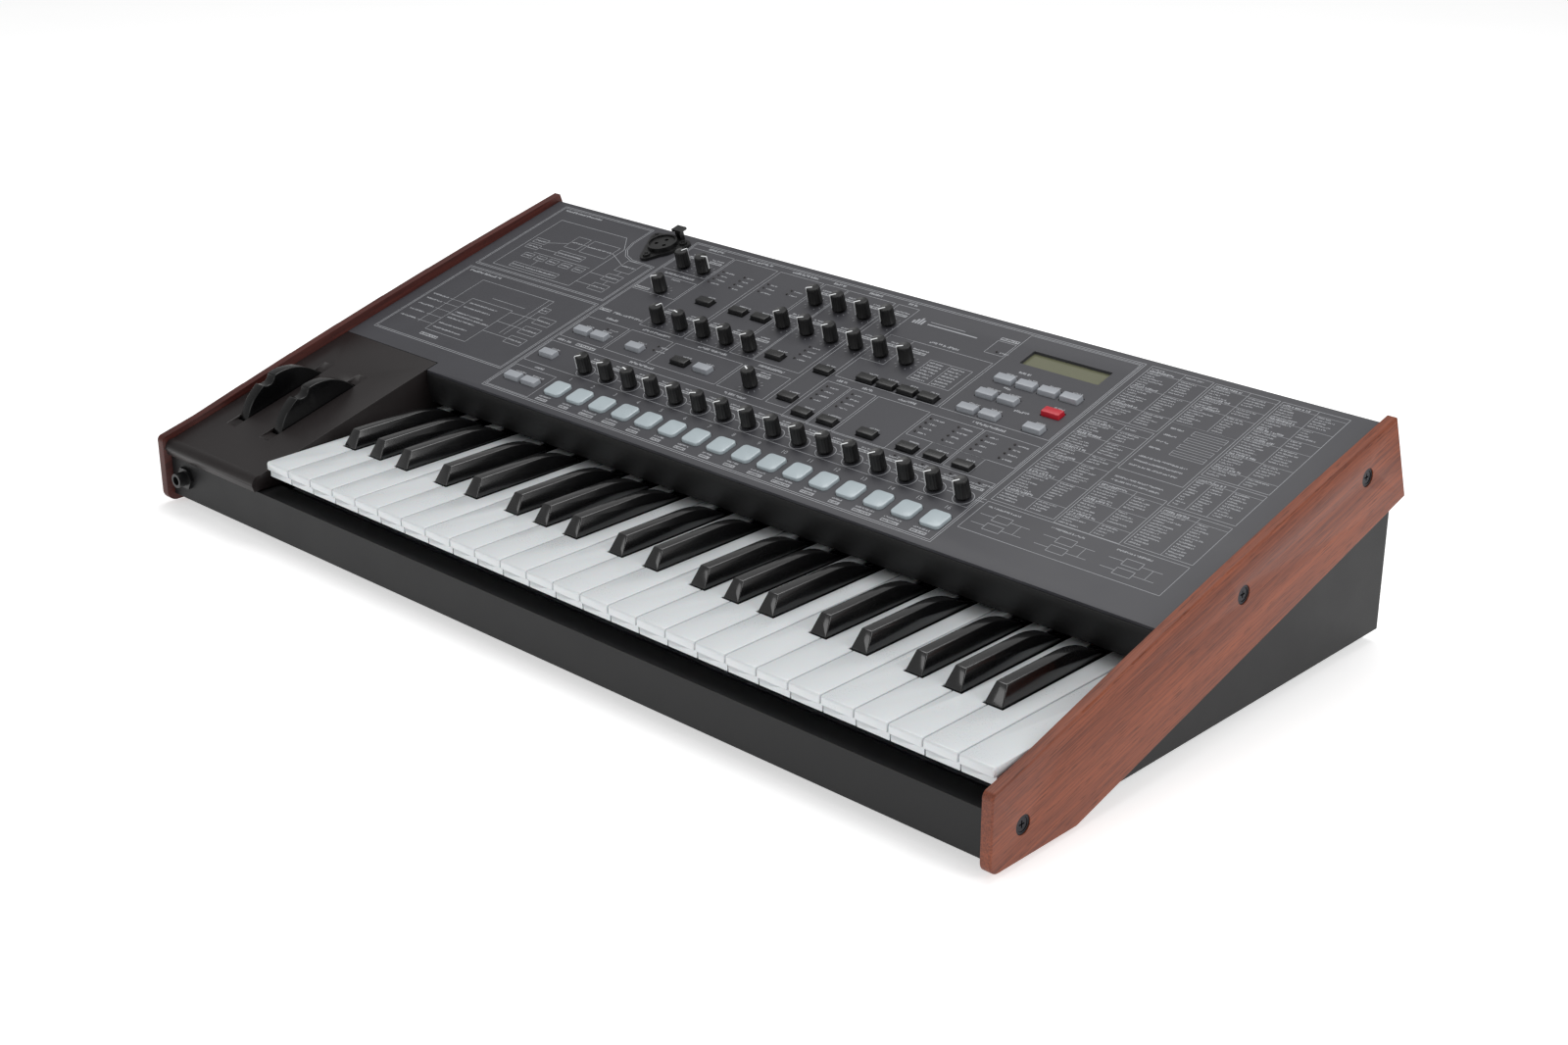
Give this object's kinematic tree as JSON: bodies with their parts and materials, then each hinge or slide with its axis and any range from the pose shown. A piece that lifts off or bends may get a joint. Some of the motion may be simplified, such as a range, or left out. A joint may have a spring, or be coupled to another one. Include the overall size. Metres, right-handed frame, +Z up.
{
  "type": "synthesizer",
  "caption": "Keyboard synthesizer with sloped grey control panel, rotary knobs, step buttons, two bender wheels and wooden end cheeks.",
  "frame": {"origin": "centre of the bounding box on the surface that the feet stand on", "axes": "+X to the player's right along the keys, +Y away from the player, +Z up"},
  "size_m": [0.735, 0.3914, 0.1528],
  "materials": {
    "wood": "satin lacquered reddish hardwood",
    "screw_black": "black oxide steel",
    "chassis_black": "fine black powder coat",
    "panel_grey": "dark grey satin paint with light grey print",
    "block_black": "fine spark texture",
    "fallboard_black": "satin black",
    "steel": "zinc plated",
    "pot_metal": "plain",
    "board": "green solder mask",
    "display": "olive backlit window",
    "socket_black": "black moulded and threaded",
    "mic_black": "satin black",
    "rubber": "matt",
    "key_white": "satin white",
    "key_black": "polished black",
    "wheel_black": "polished black",
    "knob_black": "black with a white pointer",
    "step_clear": "milky translucent",
    "button_grey": "light grey",
    "button_black": "black",
    "button_red": "red"
  },
  "bodies": {
    "body": {"left_wood_cheek": "wood", "right_wood_cheek": "wood", "cheek_screws": "screw_black", "bottom_chassis": "chassis_black", "control_panel": "panel_grey", "wheel_block": "block_black", "fallboard": "fallboard_black", "keybed_frame": "steel", "wheel_bracket": "steel", "potentiometers": "pot_metal", "circuit_boards": "board", "display_module": "display", "sockets": "socket_black", "mic_socket": "mic_black", "rubber_feet": "rubber"},
    "white_keys_a": {"white_keys_a": "key_white"},
    "white_keys_b": {"white_keys_b": "key_white"},
    "black_keys_a": {"black_keys_a": "key_black"},
    "black_keys_b": {"black_keys_b": "key_black"},
    "pitch_wheel": {"pitch_wheel": "wheel_black"},
    "mod_wheel": {"mod_wheel": "wheel_black"},
    "step_buttons": {"step_buttons": "step_clear"},
    "grey_buttons": {"grey_buttons": "button_grey"},
    "black_buttons": {"black_buttons": "button_black"},
    "red_button": {"red_button": "button_red"},
    "knob_mic_level_1": {"knob_mic_level_1": "knob_black"},
    "knob_mic_level_2": {"knob_mic_level_2": "knob_black"},
    "knob_main_volume": {"knob_main_volume": "knob_black"},
    "knob_timbre_pan": {"knob_timbre_pan": "knob_black"},
    "knob_portamento": {"knob_portamento": "knob_black"},
    "knob_mix_1": {"knob_mix_1": "knob_black"},
    "knob_mix_2": {"knob_mix_2": "knob_black"},
    "knob_noise": {"knob_noise": "knob_black"},
    "knob_tempo": {"knob_tempo": "knob_black"},
    "knob_cutoff": {"knob_cutoff": "knob_black"},
    "knob_resonance": {"knob_resonance": "knob_black"},
    "knob_filter_depth": {"knob_filter_depth": "knob_black"},
    "knob_key_track": {"knob_key_track": "knob_black"},
    "knob_attack": {"knob_attack": "knob_black"},
    "knob_decay": {"knob_decay": "knob_black"},
    "knob_sustain": {"knob_sustain": "knob_black"},
    "knob_release": {"knob_release": "knob_black"},
    "knob_lfo_rate": {"knob_lfo_rate": "knob_black"},
    "knob_delay_time": {"knob_delay_time": "knob_black"},
    "knob_row_01": {"knob_row_01": "knob_black"},
    "knob_row_02": {"knob_row_02": "knob_black"},
    "knob_row_03": {"knob_row_03": "knob_black"},
    "knob_row_04": {"knob_row_04": "knob_black"},
    "knob_row_05": {"knob_row_05": "knob_black"},
    "knob_row_06": {"knob_row_06": "knob_black"},
    "knob_row_07": {"knob_row_07": "knob_black"},
    "knob_row_08": {"knob_row_08": "knob_black"},
    "knob_row_09": {"knob_row_09": "knob_black"},
    "knob_row_10": {"knob_row_10": "knob_black"},
    "knob_row_11": {"knob_row_11": "knob_black"},
    "knob_row_12": {"knob_row_12": "knob_black"},
    "knob_row_13": {"knob_row_13": "knob_black"},
    "knob_row_14": {"knob_row_14": "knob_black"},
    "knob_row_15": {"knob_row_15": "knob_black"},
    "knob_row_16": {"knob_row_16": "knob_black"}
  },
  "joints": [
    {"name": "white_keys_a_press", "type": "hinge", "parent": "body", "child": "white_keys_a", "pos_m": [0, 0.00575, 0.0523], "axis": [1, 0, 0], "range_deg": [0, 3], "stiffness_Nm_per_rad": 20, "springref_deg": -5.73},
    {"name": "white_keys_b_press", "type": "hinge", "parent": "body", "child": "white_keys_b", "pos_m": [0, 0.00575, 0.0523], "axis": [1, 0, 0], "range_deg": [0, 3], "stiffness_Nm_per_rad": 20, "springref_deg": -5.73},
    {"name": "black_keys_a_press", "type": "hinge", "parent": "body", "child": "black_keys_a", "pos_m": [0, 0.00575, 0.0523], "axis": [1, 0, 0], "range_deg": [0, 3], "stiffness_Nm_per_rad": 12, "springref_deg": -5.73},
    {"name": "black_keys_b_press", "type": "hinge", "parent": "body", "child": "black_keys_b", "pos_m": [0, 0.00575, 0.0523], "axis": [1, 0, 0], "range_deg": [0, 3], "stiffness_Nm_per_rad": 12, "springref_deg": -5.73},
    {"name": "pitch_wheel_turn", "type": "hinge", "parent": "body", "child": "pitch_wheel", "pos_m": [-0.3347, -0.1052, 0.0472], "axis": [-1, 0, 0], "range_deg": [-35, 35], "stiffness_Nm_per_rad": 0.3},
    {"name": "mod_wheel_turn", "type": "hinge", "parent": "body", "child": "mod_wheel", "pos_m": [-0.2958, -0.1052, 0.0472], "axis": [-1, 0, 0], "range_deg": [-35, 35]},
    {"name": "step_buttons_press", "type": "slide", "parent": "body", "child": "step_buttons", "axis": [0, 0.2597, -0.9657], "range_m": [0, 0.0015], "stiffness_N_per_m": 4000, "springref_m": -0.002},
    {"name": "grey_buttons_press", "type": "slide", "parent": "body", "child": "grey_buttons", "axis": [0, 0.2597, -0.9657], "range_m": [0, 0.0015], "stiffness_N_per_m": 4000, "springref_m": -0.002},
    {"name": "black_buttons_press", "type": "slide", "parent": "body", "child": "black_buttons", "axis": [0, 0.2597, -0.9657], "range_m": [0, 0.0015], "stiffness_N_per_m": 4000, "springref_m": -0.002},
    {"name": "red_button_press", "type": "slide", "parent": "body", "child": "red_button", "axis": [0, 0.2597, -0.9657], "range_m": [0, 0.0015], "stiffness_N_per_m": 400, "springref_m": -0.002},
    {"name": "knob_mic_level_1_turn", "type": "hinge", "parent": "body", "child": "knob_mic_level_1", "pos_m": [-0.1872, 0.14086, 0.1351], "axis": [0, -0.2597, 0.9657], "range_deg": [-125, 175]},
    {"name": "knob_mic_level_2_turn", "type": "hinge", "parent": "body", "child": "knob_mic_level_2", "pos_m": [-0.1671, 0.14086, 0.1351], "axis": [0, -0.2597, 0.9657], "range_deg": [-75, 225]},
    {"name": "knob_main_volume_turn", "type": "hinge", "parent": "body", "child": "knob_main_volume", "pos_m": [-0.1772, 0.10774, 0.1262], "axis": [0, -0.2597, 0.9657], "range_deg": [-275, 25]},
    {"name": "knob_timbre_pan_turn", "type": "hinge", "parent": "body", "child": "knob_timbre_pan", "pos_m": [-0.1464, 0.07597, 0.11765], "axis": [0, -0.2597, 0.9657], "range_deg": [-130, 170]},
    {"name": "knob_portamento_turn", "type": "hinge", "parent": "body", "child": "knob_portamento", "pos_m": [-0.1244, 0.07597, 0.11765], "axis": [0, -0.2597, 0.9657], "range_deg": [-225, 75]},
    {"name": "knob_mix_1_turn", "type": "hinge", "parent": "body", "child": "knob_mix_1", "pos_m": [-0.1024, 0.07597, 0.11765], "axis": [0, -0.2597, 0.9657], "range_deg": [-290, 10]},
    {"name": "knob_mix_2_turn", "type": "hinge", "parent": "body", "child": "knob_mix_2", "pos_m": [-0.0804, 0.07597, 0.11765], "axis": [0, -0.2597, 0.9657], "range_deg": [-290, 10]},
    {"name": "knob_noise_turn", "type": "hinge", "parent": "body", "child": "knob_noise", "pos_m": [-0.0584, 0.07597, 0.11765], "axis": [0, -0.2597, 0.9657], "range_deg": [-290, 10]},
    {"name": "knob_tempo_turn", "type": "hinge", "parent": "body", "child": "knob_tempo", "pos_m": [-0.0254, 0.04236, 0.10862], "axis": [0, -0.2597, 0.9657], "range_deg": [-210, 90]},
    {"name": "knob_cutoff_turn", "type": "hinge", "parent": "body", "child": "knob_cutoff", "pos_m": [-0.0584, 0.14096, 0.13513], "axis": [0, -0.2597, 0.9657], "range_deg": [-275, 25]},
    {"name": "knob_resonance_turn", "type": "hinge", "parent": "body", "child": "knob_resonance", "pos_m": [-0.0364, 0.14096, 0.13513], "axis": [0, -0.2597, 0.9657], "range_deg": [-290, 10]},
    {"name": "knob_filter_depth_turn", "type": "hinge", "parent": "body", "child": "knob_filter_depth", "pos_m": [-0.0144, 0.14096, 0.13513], "axis": [0, -0.2597, 0.9657], "range_deg": [-290, 10]},
    {"name": "knob_key_track_turn", "type": "hinge", "parent": "body", "child": "knob_key_track", "pos_m": [0.0076, 0.14096, 0.13513], "axis": [0, -0.2597, 0.9657], "range_deg": [-290, 10]},
    {"name": "knob_attack_turn", "type": "hinge", "parent": "body", "child": "knob_attack", "pos_m": [-0.0584, 0.10842, 0.12638], "axis": [0, -0.2597, 0.9657], "range_deg": [-290, 10]},
    {"name": "knob_decay_turn", "type": "hinge", "parent": "body", "child": "knob_decay", "pos_m": [-0.0364, 0.10842, 0.12638], "axis": [0, -0.2597, 0.9657], "range_deg": [-275, 25]},
    {"name": "knob_sustain_turn", "type": "hinge", "parent": "body", "child": "knob_sustain", "pos_m": [-0.0144, 0.10842, 0.12638], "axis": [0, -0.2597, 0.9657], "range_deg": [-290, 10]},
    {"name": "knob_release_turn", "type": "hinge", "parent": "body", "child": "knob_release", "pos_m": [0.0076, 0.10842, 0.12638], "axis": [0, -0.2597, 0.9657], "range_deg": [-290, 10]},
    {"name": "knob_lfo_rate_turn", "type": "hinge", "parent": "body", "child": "knob_lfo_rate", "pos_m": [0.0296, 0.10842, 0.12638], "axis": [0, -0.2597, 0.9657], "range_deg": [-290, 10]},
    {"name": "knob_delay_time_turn", "type": "hinge", "parent": "body", "child": "knob_delay_time", "pos_m": [0.0516, 0.10842, 0.12638], "axis": [0, -0.2597, 0.9657], "range_deg": [-275, 25]},
    {"name": "knob_row_01_turn", "type": "hinge", "parent": "body", "child": "knob_row_01", "pos_m": [-0.1464, 0.00654, 0.09898], "axis": [0, -0.2597, 0.9657], "range_deg": [-290, 10]},
    {"name": "knob_row_02_turn", "type": "hinge", "parent": "body", "child": "knob_row_02", "pos_m": [-0.1244, 0.00654, 0.09898], "axis": [0, -0.2597, 0.9657], "range_deg": [-275, 25]},
    {"name": "knob_row_03_turn", "type": "hinge", "parent": "body", "child": "knob_row_03", "pos_m": [-0.1024, 0.00654, 0.09898], "axis": [0, -0.2597, 0.9657], "range_deg": [-225, 75]},
    {"name": "knob_row_04_turn", "type": "hinge", "parent": "body", "child": "knob_row_04", "pos_m": [-0.0804, 0.00654, 0.09898], "axis": [0, -0.2597, 0.9657], "range_deg": [-290, 10]},
    {"name": "knob_row_05_turn", "type": "hinge", "parent": "body", "child": "knob_row_05", "pos_m": [-0.0584, 0.00654, 0.09898], "axis": [0, -0.2597, 0.9657], "range_deg": [-290, 10]},
    {"name": "knob_row_06_turn", "type": "hinge", "parent": "body", "child": "knob_row_06", "pos_m": [-0.0364, 0.00654, 0.09898], "axis": [0, -0.2597, 0.9657], "range_deg": [-265, 35]},
    {"name": "knob_row_07_turn", "type": "hinge", "parent": "body", "child": "knob_row_07", "pos_m": [-0.0144, 0.00654, 0.09898], "axis": [0, -0.2597, 0.9657], "range_deg": [-290, 10]},
    {"name": "knob_row_08_turn", "type": "hinge", "parent": "body", "child": "knob_row_08", "pos_m": [0.0076, 0.00654, 0.09898], "axis": [0, -0.2597, 0.9657], "range_deg": [-290, 10]},
    {"name": "knob_row_09_turn", "type": "hinge", "parent": "body", "child": "knob_row_09", "pos_m": [0.0296, 0.00654, 0.09898], "axis": [0, -0.2597, 0.9657], "range_deg": [-275, 25]},
    {"name": "knob_row_10_turn", "type": "hinge", "parent": "body", "child": "knob_row_10", "pos_m": [0.0516, 0.00654, 0.09898], "axis": [0, -0.2597, 0.9657], "range_deg": [-290, 10]},
    {"name": "knob_row_11_turn", "type": "hinge", "parent": "body", "child": "knob_row_11", "pos_m": [0.0736, 0.00654, 0.09898], "axis": [0, -0.2597, 0.9657], "range_deg": [-260, 40]},
    {"name": "knob_row_12_turn", "type": "hinge", "parent": "body", "child": "knob_row_12", "pos_m": [0.0956, 0.00654, 0.09898], "axis": [0, -0.2597, 0.9657], "range_deg": [-290, 10]},
    {"name": "knob_row_13_turn", "type": "hinge", "parent": "body", "child": "knob_row_13", "pos_m": [0.1176, 0.00654, 0.09898], "axis": [0, -0.2597, 0.9657], "range_deg": [-290, 10]},
    {"name": "knob_row_14_turn", "type": "hinge", "parent": "body", "child": "knob_row_14", "pos_m": [0.1396, 0.00654, 0.09898], "axis": [0, -0.2597, 0.9657], "range_deg": [-275, 25]},
    {"name": "knob_row_15_turn", "type": "hinge", "parent": "body", "child": "knob_row_15", "pos_m": [0.1616, 0.00654, 0.09898], "axis": [0, -0.2597, 0.9657], "range_deg": [-290, 10]},
    {"name": "knob_row_16_turn", "type": "hinge", "parent": "body", "child": "knob_row_16", "pos_m": [0.1836, 0.00654, 0.09898], "axis": [0, -0.2597, 0.9657], "range_deg": [-290, 10]}
  ]
}
